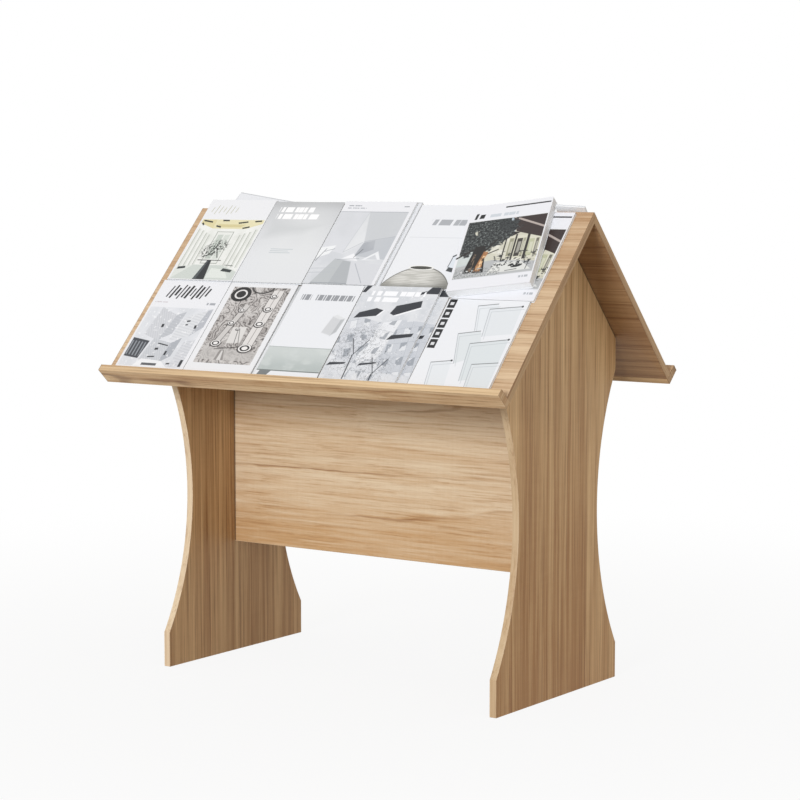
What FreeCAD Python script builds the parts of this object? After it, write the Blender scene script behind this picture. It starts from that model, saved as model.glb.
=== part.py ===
import FreeCAD, Part
import math
import os
from FreeCAD import Placement, Rotation, Vector

# A free-standing, double-sided periodical display rack: two waisted end panels and a
# stretcher carry two sloping display boards that meet in a ridge, each with a lip at its
# foot. Magazines stand on the slopes. Millimetres. X runs along the ridge, Y towards the
# rear slope, Z up from the floor. The origin is on the floor, midway between the feet.

# ---- driving dimensions -------------------------------------------------------------
BOARD = 18.0  # thickness of every board
BAND = 1.0  # thickness of the edge banding
BAND_LIFT = 0.5  # the end panels' banding stops this far short of the floor
RACK_LENGTH = 1200.0  # slopes and lips, end to end
RIDGE_HEIGHT = 1175.0  # floor to the ridge line
SLOPE_ANGLE = 47.0  # display boards, from the horizontal
SLOPE_LENGTH = 560.0  # ridge line to the lip, down the face
LIP_WIDTH = 48.0  # lip board, across its grain
LIP_RISE = LIP_WIDTH - BOARD  # how far the lip stands out of the slope's face

PANEL_SPACING = 1016.0  # end panels, outer face to outer face
FOOT_DEPTH = 557.0  # end panel on the floor
FOOT_HEIGHT = 89.0  # upright part of the foot
WAIST_DEPTH = 364.0  # end panel at its narrowest
WAIST_HEIGHT = 446.0  # floor to the waist
SHOULDER_DEPTH = 536.0  # end panel below the slopes
SHOULDER_HEIGHT = 780.0  # floor to the top of the waisted stretch

STRETCHER_BOTTOM = 294.0
STRETCHER_HEIGHT = 501.0

DOWEL_RADIUS = 4.0
DOWEL_LENGTH = 30.0
DOWEL_SEAT = 10.0  # how deep a dowel sits in the board whose face it meets
BORE_SLACK = 1.0  # glue space at the end of a dowel's bore

CAM_RADIUS = 7.5
CAM_DEPTH = 12.5
CAM_REACH = 34.0  # joint face to the cam's centre
CAM_SLOT = (1.6, 9.0, 2.5)  # screwdriver cross: width, length, depth
BOLT_RADIUS = 3.0
BOLT_SEAT = 11.0  # threaded length in the board whose face is met

TONGUE = (6.0, 6.0)  # along the slopes' lower ends, into the lips: thickness, depth
SPLINE = (4.0, 8.0, 12.0)  # along the ridge: thickness, depth in the front and rear board

GAP = 0.4  # between loose pieces that stand or lie on one another
COVER = 0.4  # magazine cover
SPINE_RADIUS = 1.2
PAGE_INSET = 1.0  # trimmed page block behind the cover's edge

# ---- places worked out from them ----------------------------------------------------
FRONT, REAR = -1, 1
LEFT, RIGHT = -1, 1
COS = math.cos(math.radians(SLOPE_ANGLE))
SIN = math.sin(math.radians(SLOPE_ANGLE))
TAN = SIN / COS
HALF_LENGTH = RACK_LENGTH / 2
PANEL_OUTER = PANEL_SPACING / 2
PANEL_INNER = PANEL_OUTER - BOARD
GABLE_TOP = RIDGE_HEIGHT - BOARD / COS  # where the undersides of the slopes meet

AXIS_X, AXIS_Y, AXIS_Z = Vector(1, 0, 0), Vector(0, 1, 0), Vector(0, 0, 1)


def on_slope(shape, side):
    """A copy of a shape from a slope's own frame, set on the front or rear slope.

    In that frame X runs along the ridge, Y is 0 at the ridge and falls to minus
    SLOPE_LENGTH at the lip, and Z is 0 on the face and positive outwards.
    """
    turn = Rotation(AXIS_X, SLOPE_ANGLE)
    if side == REAR:
        turn = Rotation(AXIS_Z, 180.0) * turn
    placed = shape.copy()
    placed.Placement = Placement(Vector(0, 0, RIDGE_HEIGHT), turn) * shape.Placement
    return placed


def stand_at(shape, origin, along, towards):
    """A copy of a shape with its Z axis along one direction and its X axis along another."""
    placed = shape.copy()
    turn = Rotation(towards, along.cross(towards), along, "ZXY")
    placed.Placement = Placement(origin, turn) * shape.Placement
    return placed


def prism(points, start, length):
    """Points given as (Y, Z), extruded along X from start."""
    corners = [Vector(start, y, z) for y, z in points]
    face = Part.Face(Part.makePolygon(corners + corners[:1]))
    return face.extrude(Vector(length, 0, 0))


def box(x, y, z):
    """A block between the two X, the two Y and the two Z values given."""
    return Part.makeBox(x[1] - x[0], y[1] - y[0], z[1] - z[0], Vector(x[0], y[0], z[0]))


def group(shapes):
    return Part.makeCompound(list(shapes))


def save(node, shape):
    shape.exportStep("parts/" + node + ".step")


# ---- fittings -------------------------------------------------------------------------
# Each is modelled at a joint face: Z = 0 is the face of the board that is met, Z > 0 is
# inside the board whose end meets it, and X points to that board's drilled face.


def dowel():
    return Part.makeCylinder(DOWEL_RADIUS, DOWEL_LENGTH, Vector(0, 0, -DOWEL_SEAT))


def dowel_bore():
    length = DOWEL_LENGTH + 2 * BORE_SLACK
    return Part.makeCylinder(DOWEL_RADIUS, length, Vector(0, 0, -DOWEL_SEAT - BORE_SLACK))


def cam_disc():
    """A disc sunk into the drilled face, centred on the bolt's axis."""
    bottom = Vector(BOARD / 2 - CAM_DEPTH, 0, CAM_REACH)
    return Part.makeCylinder(CAM_RADIUS, CAM_DEPTH, bottom, AXIS_X)


def cam_lock():
    """Zinc housing, flush with the drilled face, with a cross for the screwdriver."""
    width, length, depth = (value / 2 for value in CAM_SLOT)
    top = BOARD / 2
    across, along = [
        box((top - 2 * depth, top), (-y, y), (CAM_REACH - z, CAM_REACH + z))
        for y, z in ((length, width), (width, length))
    ]
    return cam_disc().cut(across.fuse(along))


def cam_bolt():
    """Screwed into one board, it reaches the cam in the other."""
    length = BOLT_SEAT + CAM_REACH - CAM_RADIUS
    return Part.makeCylinder(BOLT_RADIUS, length, Vector(0, 0, -BOLT_SEAT))


def bolt_bore():
    return Part.makeCylinder(BOLT_RADIUS, BOLT_SEAT + CAM_REACH, Vector(0, 0, -BOLT_SEAT))


def cam_bores():
    return bolt_bore().fuse(cam_disc())


class Joint:
    """One row of fittings: dowels and cams at points of a joint face."""

    def __init__(self, dowels, cams, along, towards):
        self.dowels, self.cams = dowels, cams
        self.along, self.towards = along, towards

    def at(self, maker, points):
        made = maker()
        return [stand_at(made, p, self.along, self.towards) for p in points]

    def bores_met(self):
        """Bores in the board whose face is met."""
        return self.at(dowel_bore, self.dowels) + self.at(bolt_bore, self.cams)

    def bores_end(self):
        """Bores in the board whose end meets that face."""
        return self.at(dowel_bore, self.dowels) + self.at(cam_bores, self.cams)


def slope_point(side, x, down, out):
    """A point named by its place on a slope, in the rack's frame."""
    return Vector(x, side * (down * COS + out * SIN), RIDGE_HEIGHT - down * SIN + out * COS)


def outward(side):
    return Vector(0, side * SIN, COS)


def upslope(side):
    return Vector(0, -side * COS, SIN)


STRETCHER_CAMS = (100.0, 400.0)  # above the stretcher's lower edge
STRETCHER_DOWELS = (250.0,)
GABLE_CAMS = (300.0,)  # down the slope from the ridge
GABLE_DOWELS = (120.0,)


def stretcher_joint(end):
    def points(heights):
        return [Vector(end * PANEL_INNER, 0, STRETCHER_BOTTOM + h) for h in heights]

    return Joint(points(STRETCHER_DOWELS), points(STRETCHER_CAMS), AXIS_X * -end, AXIS_Y)


def gable_joint(end, side):
    middle = end * (PANEL_OUTER - BOARD / 2)

    def points(downs):
        return [slope_point(side, middle, d, -BOARD) for d in downs]

    return Joint(points(GABLE_DOWELS), points(GABLE_CAMS), outward(side) * -1, AXIS_X * -end)


# Both slopes are cut to meet without a gap: the front one runs through to the ridge and
# ends in the plane of the rear face, and the rear one ends on the front one's underside.
DOUBLE = math.radians(2 * SLOPE_ANGLE)
FRONT_BEVEL = -BOARD / math.tan(DOUBLE)
REAR_START_FACE = BOARD / math.sin(DOUBLE)
REAR_START_BACK = BOARD * TAN

STRETCHER_JOINTS = [stretcher_joint(end) for end in (LEFT, RIGHT)]
GABLE_JOINTS = {(e, s): gable_joint(e, s) for e in (LEFT, RIGHT) for s in (FRONT, REAR)}


# ---- end panels -----------------------------------------------------------------------
def waist_circle():
    """Centre (Y, Z) and radius of the arc from the foot, by the waist, to the shoulder."""
    corners = [
        Vector(0, FOOT_DEPTH / 2, FOOT_HEIGHT),
        Vector(0, WAIST_DEPTH / 2, WAIST_HEIGHT),
        Vector(0, SHOULDER_DEPTH / 2, SHOULDER_HEIGHT),
    ]
    circle = Part.Arc(*corners).toShape().Curve
    return circle.Center.y, circle.Center.z, circle.Radius


def panel_outline(inset):
    """The end panel's outline with its two long edges moved in by inset."""
    centre_y, centre_z, radius = waist_circle()
    radius += inset
    foot, shoulder = FOOT_DEPTH / 2 - inset, SHOULDER_DEPTH / 2 - inset
    foot_top = centre_z - math.sqrt(radius**2 - (centre_y - foot) ** 2)
    shoulder_foot = centre_z + math.sqrt(radius**2 - (centre_y - shoulder) ** 2)
    gable_foot = GABLE_TOP - shoulder * TAN

    def at(y, z):
        return Vector(0, y, z)

    def waist(side):
        return Part.Arc(
            at(side * foot, foot_top),
            at(side * (centre_y - radius), centre_z),
            at(side * shoulder, shoulder_foot),
        ).toShape()

    def line(a, b):
        return Part.makeLine(at(*a), at(*b))

    edges = [line((-foot, 0), (foot, 0))]
    for side in (FRONT, REAR):
        edges += [
            line((side * foot, 0), (side * foot, foot_top)),
            waist(side),
            line((side * shoulder, shoulder_foot), (side * shoulder, gable_foot)),
            line((side * shoulder, gable_foot), (0, GABLE_TOP)),
        ]
    return Part.Face(Part.Wire(Part.__sortEdges__(edges)))


def end_panel(end):
    """The drilled board and the strips of banding on its front and rear edges."""
    start = Vector(end * PANEL_OUTER - (BOARD if end == RIGHT else 0), 0, 0)
    thickness = Vector(BOARD, 0, 0)
    core = panel_outline(BAND).extrude(thickness)
    floor = Part.makeBox(BOARD, FOOT_DEPTH, BAND_LIFT, Vector(0, -FOOT_DEPTH / 2, 0))
    banding = panel_outline(0).extrude(thickness).cut([core, floor])
    for shape in (core, banding):
        shape.translate(start)
    bores = stretcher_joint(end).bores_met()
    for side in (FRONT, REAR):
        bores += GABLE_JOINTS[end, side].bores_end()
    return core.cut(bores), group(banding.Solids)


# ---- slopes, lips and stretcher ---------------------------------------------------------
CORE_HALF = HALF_LENGTH - BAND
CORE_SPAN = (-CORE_HALF, CORE_HALF)


def lip_tongue():
    """In a slope's own frame: the tongue on its lower end, and the groove that takes it."""
    thickness, depth = TONGUE
    middle = -BOARD / 2
    across = (middle - thickness / 2, middle + thickness / 2)
    return box(CORE_SPAN, (-SLOPE_LENGTH - depth, -SLOPE_LENGTH), across)


def ridge_spline():
    """In the front slope's frame: a loose strip, square to that slope's underside."""
    thickness, in_front, in_rear = SPLINE
    middle = -(FRONT_BEVEL + REAR_START_BACK) / 2
    across = (middle - thickness / 2, middle + thickness / 2)
    return box(CORE_SPAN, across, (-BOARD - in_rear, -BOARD + in_front))


def slope_board(side):
    """A display board and the banding on its ends, and on the front one's ridge edge."""
    top_face, top_back = (REAR_START_FACE, REAR_START_BACK)
    if side == FRONT:
        top_face, top_back = (0.0, FRONT_BEVEL)
    edge = BAND if side == FRONT else 0.0

    def profile(cut):
        low = [(-SLOPE_LENGTH, 0), (-SLOPE_LENGTH, -BOARD)]
        return [(-top_face - cut, 0)] + low + [(-top_back - cut, -BOARD)]

    core = prism(profile(edge), -CORE_HALF, 2 * CORE_HALF).fuse(lip_tongue())
    strips = [prism(profile(edge), x, BAND) for x in (-HALF_LENGTH, CORE_HALF)]
    if side == FRONT:
        ridge = [(0, 0), (-BAND, 0), (-top_back - BAND, -BOARD), (-top_back, -BOARD)]
        strips.append(prism(ridge, -HALF_LENGTH, RACK_LENGTH))
    cuts = [on_slope(ridge_spline(), FRONT)]
    for end in (LEFT, RIGHT):
        cuts += GABLE_JOINTS[end, side].bores_met()
    return on_slope(core, side).cut(cuts), group(on_slope(s, side) for s in strips)


def lip(side):
    """The lip board, set square to the slope over its lower end, with four strips of banding."""
    across = (-SLOPE_LENGTH - BOARD, -SLOPE_LENGTH)
    low, high = -BOARD, LIP_RISE
    core = box(CORE_SPAN, across, (low + BAND, high - BAND)).cut(lip_tongue())
    full = (-HALF_LENGTH, HALF_LENGTH)
    strips = [
        box(full, across, (high - BAND, high)),
        box(full, across, (low, low + BAND)),
        box((-HALF_LENGTH, -CORE_HALF), across, (low + BAND, high - BAND)),
        box((CORE_HALF, HALF_LENGTH), across, (low + BAND, high - BAND)),
    ]
    return on_slope(core, side), group(on_slope(s, side) for s in strips)


def stretcher():
    """The upright board between the end panels, banded along its two long edges."""
    length, depth = (-PANEL_INNER, PANEL_INNER), (-BOARD / 2, BOARD / 2)
    low, high = STRETCHER_BOTTOM, STRETCHER_BOTTOM + STRETCHER_HEIGHT
    core = box(length, depth, (low + BAND, high - BAND))
    strips = [box(length, depth, (low, low + BAND)), box(length, depth, (high - BAND, high))]
    bores = [b for joint in STRETCHER_JOINTS for b in joint.bores_end()]
    return core.cut(bores), group(strips)


# ---- magazines --------------------------------------------------------------------------
# name: slope, left edge and top edge of its upper left corner as seen facing the slope (X
# from the middle, distance down from the ridge), width, height, thickness, what it lies on
# (distance out from the face) and its turn in degrees, anticlockwise.
SPARE, THIN, THICK, BOOK = 5.0, 6.0, 8.0, 22.0
ON_FACE = GAP
ON_SPARE = ON_FACE + SPARE + GAP
ON_THIN = ON_FACE + THIN + GAP

MAGAZINES = {
    "magazine_low_1": (FRONT, -578.0, 258.0, 223.0, 301.0, THICK, ON_FACE, 0.0),
    "magazine_low_2": (FRONT, -354.0, 259.0, 214.0, 300.0, THICK, ON_FACE, 0.0),
    "magazine_low_3_under": (FRONT, -139.0, 260.0, 192.0, 299.0, SPARE, ON_FACE, 0.0),
    "magazine_low_3": (FRONT, -126.0, 258.5, 190.5, 300.0, THIN, ON_SPARE, 0.0),
    "magazine_low_4_under": (FRONT, 95.5, 260.9, 222.0, 292.0, SPARE, ON_FACE, 0.5),
    "magazine_low_4": (FRONT, 66.0, 257.5, 224.0, 300.0, THIN, ON_SPARE, 0.3),
    "magazine_low_5": (FRONT, 321.5, 284.0, 225.0, 275.0, THIN, ON_FACE, 0.0),
    "magazine_high_1_under": (FRONT, -495.0, -53.0, 215.0, 278.0, SPARE, ON_FACE, -9.5),
    "magazine_high_1": (FRONT, -569.0, -20.0, 216.0, 277.0, THIN, ON_SPARE, 0.0),
    "magazine_high_2": (FRONT, -352.0, -15.0, 220.5, 273.0, THIN, ON_SPARE, 0.0),
    "magazine_high_3_under": (FRONT, -117.5, -21.6, 220.0, 277.0, SPARE, ON_FACE, 0.0),
    "magazine_high_3": (FRONT, -130.0, -18.0, 220.0, 274.0, THIN, ON_SPARE, 0.0),
    "magazine_high_4": (FRONT, 104.0, -13.0, 210.0, 268.0, THIN, ON_FACE, 0.0),
    "magazine_high_5": (FRONT, 325.0, 7.0, 229.0, 276.0, THIN, ON_FACE, 0.0),
    "magazine_high_5_top": (FRONT, 273.5, 14.0, 221.0, 272.0, BOOK, ON_THIN, 9.8),
    "magazine_rear_low": (REAR, -555.0, 279.0, 215.0, 280.0, THICK, ON_FACE, 0.0),
    "magazine_rear_high": (REAR, -578.0, -14.0, 80.0, 210.0, THIN, ON_FACE, 3.4),
}


def bound_pages(width, height, thickness):
    """A glued magazine: cover wrapped round a rounded spine, page block trimmed inside it.

    Spine edge at X = 0, head at Y = 0, back cover at Z = 0.
    """
    cover = box((0, width), (-height, 0), (0, thickness))
    spine = [e for e in cover.Edges if abs(e.CenterOfMass.x) < COVER and e.Length > width]
    cover = cover.makeFillet(SPINE_RADIUS, spine)
    inside = box((SPINE_RADIUS, width), (-height, 0), (COVER, thickness - COVER))
    pages = box(
        (SPINE_RADIUS, width - PAGE_INSET),
        (-height + PAGE_INSET, -PAGE_INSET),
        (COVER, thickness - COVER),
    )
    return cover.cut(inside).fuse(pages).removeSplitter()


def magazine(side, left, down, width, height, thickness, out, turn):
    copy = bound_pages(width, height, thickness)
    copy.Placement = Placement(Vector(left, -down, out), Rotation(AXIS_Z, turn))
    return on_slope(copy, side)


# ---- build --------------------------------------------------------------------------------
os.makedirs("parts", exist_ok=True)

for word, end in (("left", LEFT), ("right", RIGHT)):
    board, banding = end_panel(end)
    save("end_panel_" + word, board)
    save("end_panel_" + word + "_banding", banding)

for word, side in (("front", FRONT), ("rear", REAR)):
    board, banding = slope_board(side)
    save("slope_" + word, board)
    save("slope_" + word + "_banding", banding)
    board, banding = lip(side)
    save("lip_" + word, board)
    save("lip_" + word + "_banding", banding)

board, banding = stretcher()
save("stretcher", board)
save("stretcher_banding", banding)

save("ridge_spline", on_slope(ridge_spline(), FRONT))

JOINT_ROWS = {"stretcher": STRETCHER_JOINTS, "gables": list(GABLE_JOINTS.values())}
for word, joints in JOINT_ROWS.items():
    save("dowels_" + word, group(d for j in joints for d in j.at(dowel, j.dowels)))
    save("cam_locks_" + word, group(c for j in joints for c in j.at(cam_lock, j.cams)))
    save("cam_bolts_" + word, group(b for j in joints for b in j.at(cam_bolt, j.cams)))

for node, size in MAGAZINES.items():
    save(node, magazine(*size))
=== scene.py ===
import math
from functools import partialmethod

import bmesh
import bpy
from mathutils import Euler, Matrix, Vector
from mathutils.geometry import convex_hull_2d


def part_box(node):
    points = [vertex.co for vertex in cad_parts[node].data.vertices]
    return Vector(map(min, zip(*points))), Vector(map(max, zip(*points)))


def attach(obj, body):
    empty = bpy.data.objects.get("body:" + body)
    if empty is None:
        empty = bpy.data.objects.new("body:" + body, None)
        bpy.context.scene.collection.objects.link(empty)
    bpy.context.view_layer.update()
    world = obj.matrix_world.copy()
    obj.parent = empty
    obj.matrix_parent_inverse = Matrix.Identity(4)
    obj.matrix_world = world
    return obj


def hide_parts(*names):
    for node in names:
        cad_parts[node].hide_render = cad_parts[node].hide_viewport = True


# The looks of the display rack: wood-grained boards and banding on the CAD nodes, and a
# detailed copy of each magazine in place of its plain solid. Metres, in the row's frame.

MM = 0.001

# ---- camera and light ----
CAMERA_PLACE = (3.3764, -4.7657, 1.2619)
CAMERA_TURN = 0.61085  # to the left of +Y, in radians
CAMERA_DIP = 0.09651  # below the horizon
CAMERA_REACH = 100.0
SENSOR = 36.0
LENS = SENSOR * 2321.0 / 800.0

WORLD_LIGHT = 0.58
WORLD_TINT = (1.05, 0.985, 0.92)
KEY_LIGHT = 1.78
KEY_TINT = (0.955, 1.0, 1.065)
KEY_FROM = (0.12, -0.95, 0.255)
KEY_SPREAD = math.radians(16.0)
FLOOR_REACH = 14.0
FLOOR_GLOW = 0.9  # how far the floor near the rack whitens for the camera
FLOOR_NEAR, FLOOR_FAR = 0.4, 3.2  # it whitens fully between these distances from the middle

# ---- colours, as they should look ----
# Each wood is a pale ground, a warmer one and the colour of its lines.
PALE_OAK = ("E2CCAC", "C39B6D", "8F6239")
MID_OAK = ("DBC09D", "AF8861", "764D2D")
RIGHT_OAK = ("EECB98", "AA7D4D", "694121")
# the left end panel's oak, darker than the right's: painted shade on its inner face
SHADED_LEFT_OAK = ("DAB788", "966A3E", "563012")
# the rear slope's underside: a darker copy of its oak, painted shade
SHADED_UNDERSIDE_OAK = ("A5815A", "774F2C", "4B2E16")
LIP_OAK = ("E4C9A0", "AD7C48", "663C18")
BAND_OAK = ("D2B995", "B99973", "87623E")
EDGE_OAK = ("CCAC82", "9F774D", "6A4424")
# the left panel's banding, paler than the right's: painted light against the shade it sits in
LIT_LEFT_BAND = ("E6D1B0", "CFB291", "98764F")
BEECH = ("DDBF95", "CFAE80", "B08C60")
# dark ink of the joints: painted shade along the boards' joints, and the glue line on banding
JOINT_AND_SHADE_INK = "38220F"
JOINT_AND_SHADE_STRENGTH = 0.75
PAPER, PAPER_FIBRE = "E6E8EA", "E2E4E8"
# page edges whiter than the paper: painted light on the trimmed edges
LIT_PAGE_EDGE, PAGE_LINE = "F8F9FA", "E4E6E8"
ZINC, STEEL, TARNISH = "A9A9AB", "C2C2C2", "6F6F72"
FLOOR, FLOOR_CLOUD = "D2D2D1", "D8D8D8"

# ---- boards ----
BOARD = 18.0 * MM
# how wide the painted shade along the boards' joints is
JOINT_SHADE_WIDTH = 4.2 * MM
BOARD_EASE, BAND_EASE = 0.12 * MM, 0.35 * MM  # how far the edges are rounded
WELD_REACH = 0.001 * MM
SHARP_ANGLE = math.radians(40.0)
SLOPE = math.radians(47.0)
BAND_SHIFT = 2.2  # from a board's stretch of the print to its banding's

# ---- magazines ----
COVER = 0.4 * MM
PAGE_INSET = 1.2 * MM
PAGE_GAP = 0.3 * MM  # between the pages and the lowest part of the front cover
SPINE_RADIUS = 1.2 * MM
HINGE = 6.0 * MM  # crease that lets the front cover open, beside the spine
HINGE_DEPTH = 0.18 * MM
HINGE_WIDTH = 1.1 * MM
SAG = 0.5 * MM  # how far the front cover dips between spine and fore edge
SWELL = 0.25 * MM  # of the front cover at half its height, and of the pages at the fore edge
ARC_STEPS, FACE_STEPS, ROWS = 5, 13, 12
PAGE_COLUMNS, PAGE_LAYERS = 12, 6
PRINTED, PLAIN, PAGE_BLOCK = 0, 1, 2  # material slots

FACET_SIDES = 5  # most corners of a printed facet


def linear(text):
    """A colour as written on a screen, in the linear values that shaders take."""
    values = [int(text[i : i + 2], 16) / 255.0 for i in (0, 2, 4)]
    return [v / 12.92 if v <= 0.04045 else ((v + 0.055) / 1.055) ** 2.4 for v in values] + [1.0]


# ---- shader arithmetic ----
class Value:
    """A number in a material's node tree, so that a pattern reads as arithmetic."""

    def __init__(self, shade, socket):
        self.shade, self.socket = shade, socket

    def _do(self, operation, *others, clamp=False):
        settings = {"operation": operation, "use_clamp": clamp}
        made = self.shade.node("ShaderNodeMath", self, *others, **settings)
        return Value(self.shade, made.outputs[0])

    __add__ = partialmethod(_do, "ADD")
    __sub__ = partialmethod(_do, "SUBTRACT")
    __mul__ = partialmethod(_do, "MULTIPLY")
    __truediv__ = partialmethod(_do, "DIVIDE")
    most = partialmethod(_do, "MAXIMUM")
    least = partialmethod(_do, "MINIMUM")
    remainder = partialmethod(_do, "FLOORED_MODULO")
    abs = partialmethod(_do, "ABSOLUTE")
    root = partialmethod(_do, "SQRT")
    wave = partialmethod(_do, "SINE")
    clamp = partialmethod(_do, "ADD", 0.0, clamp=True)

    def over(self, low, high):
        """0 below low, 1 above high and smooth between; high may be the lower one."""
        settings = {"interpolation_type": "SMOOTHSTEP"}
        made = self.shade.node("ShaderNodeMapRange", self, low, high, **settings)
        return Value(self.shade, made.outputs["Result"])


class Nodes:
    """Makes the nodes of one tree."""

    def __init__(self, tree):
        self.tree = tree

    def node(self, kind, *given, **settings):
        """A node with these settings, whose first inputs are what is given."""
        made = self.tree.nodes.new(kind)
        for name, value in settings.items():
            setattr(made, name, value)
        for slot, value in zip(made.inputs, given):
            self.feed(slot, value)
        return made

    def feed(self, slot, given):
        """Sets a socket to a number, or to a colour written as text, or links it."""
        if isinstance(given, Value):
            given = given.socket
        if isinstance(given, bpy.types.NodeSocket):
            self.tree.links.new(given, slot)
        else:
            slot.default_value = linear(given) if isinstance(given, str) else given

    def axes(self, vector):
        return [Value(self, out) for out in self.node("ShaderNodeSeparateXYZ", vector).outputs]

    def vector(self, x, y, z=0.0):
        return self.node("ShaderNodeCombineXYZ", x, y, z).outputs[0]

    def noise(self, vector, scale=1.0, detail=2.0, roughness=0.5):
        made = self.node("ShaderNodeTexNoise", vector)
        made.inputs["Scale"].default_value = scale
        made.inputs["Detail"].default_value = detail
        made.inputs["Roughness"].default_value = roughness
        return Value(self, made.outputs["Fac"])

    def mix(self, amount, first, second, kind="RGBA"):
        """A mix of two colours, or of two vectors."""
        made = self.node("ShaderNodeMix", amount, data_type=kind)
        slots = (slot for slot in made.inputs if slot.name in "AB" and slot.type == kind)
        for slot, given in zip(slots, (first, second)):
            self.feed(slot, given)
        return next(out for out in made.outputs if out.type == kind)

    def use(self, pattern, *given):
        """The outputs of a pattern, made from its inputs in their order."""
        made = self.node("ShaderNodeGroup", *given, node_tree=pattern.tree)
        return [Value(self, out) for out in made.outputs]

    def source(self, kind, colour=(1.0, 1.0, 1.0), strength=1.0):
        """Light from a surface or from the world."""
        return self.node(kind, (*colour, 1.0), strength).outputs[0]

    def blend(self, amount, first, second):
        """A blend of two shaders."""
        return self.node("ShaderNodeMixShader", amount, first, second).outputs[0]

    def seen(self):
        """1 where the camera looks straight at this, or in metal or through glass."""
        path = self.node("ShaderNodeLightPath").outputs
        kinds = ("Camera", "Glossy", "Transmission")
        straight, metal, glass = (Value(self, path["Is %s Ray" % kind]) for kind in kinds)
        return straight.most(metal).most(glass)


class Pattern(Nodes):
    """A node group that many materials use. Its sockets are numbers unless a kind is given."""

    def __init__(self, name, *inputs):
        super().__init__(bpy.data.node_groups.new(name, "ShaderNodeTree"))
        for word in inputs:
            self._socket("INPUT", word)
        given = self.node("NodeGroupInput").outputs[: len(inputs)]
        self.given = [Value(self, out) for out in given]

    def _socket(self, side, word):
        name, _, kind = word.partition(":")
        kind = "NodeSocket" + (kind or "Float")
        self.tree.interface.new_socket(name, in_out=side, socket_type=kind)

    def result(self, **outputs):
        for word in outputs:
            self._socket("OUTPUT", word.replace("_", ":"))
        self.node("NodeGroupOutput", *outputs.values())
        return self


class Shade(Nodes):
    """One material, with its coordinates in the object's own frame, in metres."""

    def __init__(self, name):
        self.material = bpy.data.materials.new(name)
        self.material.use_nodes = True
        super().__init__(self.material.node_tree)
        self.principled = next(n for n in self.tree.nodes if n.type == "BSDF_PRINCIPLED")
        self.place = self.node("ShaderNodeTexCoord").outputs["Object"]

    def bump(self, height, depth, strength=1.0):
        made = self.node("ShaderNodeBump", strength, depth)
        self.feed(made.inputs["Height"], height)
        self.feed(self.principled.inputs["Normal"], made.outputs[0])

    def finish(self, colour, roughness, metallic=0.0, specular=0.5):
        self.feed(self.principled.inputs["Base Color"], colour)
        self.feed(self.principled.inputs["Roughness"], roughness)
        self.principled.inputs["Metallic"].default_value = metallic
        self.principled.inputs["Specular IOR Level"].default_value = specular
        return self.material


# ---- wood ----
def oak_print():
    """Printed oak whose grain runs along X: colour, height of the pressed pores, roughness."""
    made = Pattern(
        "oak print", "place:Vector", "figure", "pale:Color", "warm:Color", "line:Color", "warmer"
    )
    place, figure, pale, warm, line, warmer = made.given
    along, across, depth = made.axes(place)
    along = along * (figure * 0.7 + 0.3)

    def spread(long_scale, cross_scale, **settings):
        vector = made.vector(along * long_scale, across * cross_scale, depth * cross_scale)
        return made.noise(vector, **settings)

    drift = spread(1.3, 4.0, detail=1.0)
    ripple = spread(7.0, 16.0)
    rays = spread(130.0, 16.0)
    wavy = across + (drift - 0.5) * figure * 0.026 + (ripple - 0.5) * figure * 0.010

    def stretched(long_scale, cross_scale, **settings):
        vector = made.vector(along * long_scale, wavy * cross_scale, depth * cross_scale)
        return made.noise(vector, **settings)

    bands = stretched(0.9, 24.0).over(0.36, 0.66)
    streaks = stretched(2.0, 90.0, detail=3.0, roughness=0.6).over(0.34, 0.66)
    strands = stretched(4.0, 165.0, detail=3.0, roughness=0.7)
    fibres = stretched(12.0, 700.0)
    pores = stretched(60.0, 1500.0, detail=1.0).over(0.62, 0.72)

    # growth rings: each darkens slowly, ends in a thin line and starts pale again
    ring = (wavy * 22.0 + stretched(0.5, 7.0, detail=1.0) * 2.2).remainder(1.0)
    strength = stretched(2.4, 18.0, detail=1.0).over(0.36, 0.62) * figure
    ring_shade = ring.over(0.30, 0.96) * strength
    ring_line = ring.over(0.92, 0.96) * ring.over(0.99, 0.97) * strength
    ring_start = ring.over(0.12, 0.0) * strength

    tone = bands * (figure * -0.26 + 0.54) + streaks * 0.24 + ring_shade * 0.12
    tone = tone + (rays - 0.5) * figure * 0.16 + (strands - 0.5) * (figure * 0.5 + 1.0)
    tone = tone - ring_start * 0.25 + warmer + 0.1
    colour = made.mix(tone.most(0.0).least(1.0), pale, warm)
    marks = ring_line * 0.55 + (streaks * 0.5 + 0.5) * strands.over(0.53, 0.70) * 0.40
    marks = marks + (fibres - 0.5).most(0.0) * 0.7 + pores * 0.14
    colour = made.mix(marks.least(1.0), colour, line)
    height = fibres * -0.5 - pores - ring_line * 0.4
    return made.result(colour_Color=colour, height=height, roughness=fibres * 0.12 + 0.42)


def depth_below_slopes(shade):
    """How far a point lies below the slopes' upper faces."""
    _, y, z = shade.axes(shade.place)
    return (z * -1.0 + RIDGE) * math.cos(SLOPE) - y.abs() * math.sin(SLOPE)


def under_slopes(shade):
    """Painted shade along the joint between an end panel and the slopes' undersides."""
    return depth_below_slopes(shade).over(BOARD + JOINT_SHADE_WIDTH, BOARD + JOINT_SHADE_WIDTH * 0.6)


def off_middle(shade):
    return shade.axes(shade.place)[0].abs()


def under_ends(shade):
    """Painted shade along the joint between the stretcher and the end panels."""
    return off_middle(shade).over(INSIDE - JOINT_SHADE_WIDTH, INSIDE - JOINT_SHADE_WIDTH * 0.6)


def beside_band(shade):
    """The glue line of the strips on the rack's two ends."""
    x = off_middle(shade)
    return x.over(HALF - 1.7 * MM, HALF - 1.3 * MM) * x.over(HALF - 0.2 * MM, HALF - 0.5 * MM)


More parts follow.
